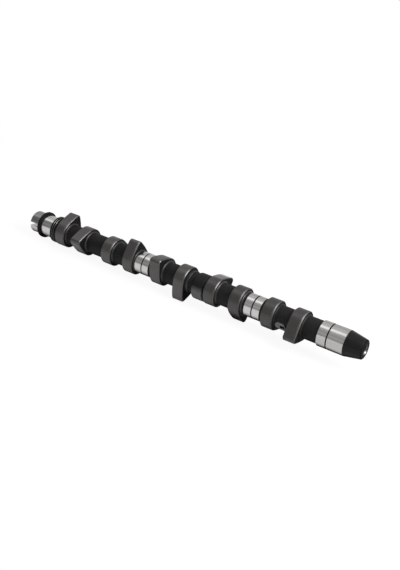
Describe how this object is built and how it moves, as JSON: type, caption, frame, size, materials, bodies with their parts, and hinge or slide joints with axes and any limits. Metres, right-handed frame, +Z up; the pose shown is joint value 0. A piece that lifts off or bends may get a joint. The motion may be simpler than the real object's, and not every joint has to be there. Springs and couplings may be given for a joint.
{
  "type": "camshaft",
  "caption": "One-piece overhead camshaft for an in-line engine, cast and ground, with cam lobes between its bearing journals, a slotted rear end and a tapered, threaded nose.",
  "frame": {"origin": "on the shaft's axis, in the middle of the rear journal, between the two thrust collars", "axes": "+X along the shaft's axis, from the slotted rear end to the tapered nose; +Z up as the shaft lies on a bench, on the noses of two of its lobes; the drive slot is level, along Y"},
  "size_m": [0.5427, 0.0594, 0.0594],
  "materials": {
    "chilled_iron": "as cast and blackened, with ground lobes and bright ground journals"
  },
  "bodies": {
    "root": {"camshaft": "chilled_iron"}
  },
  "joints": []
}
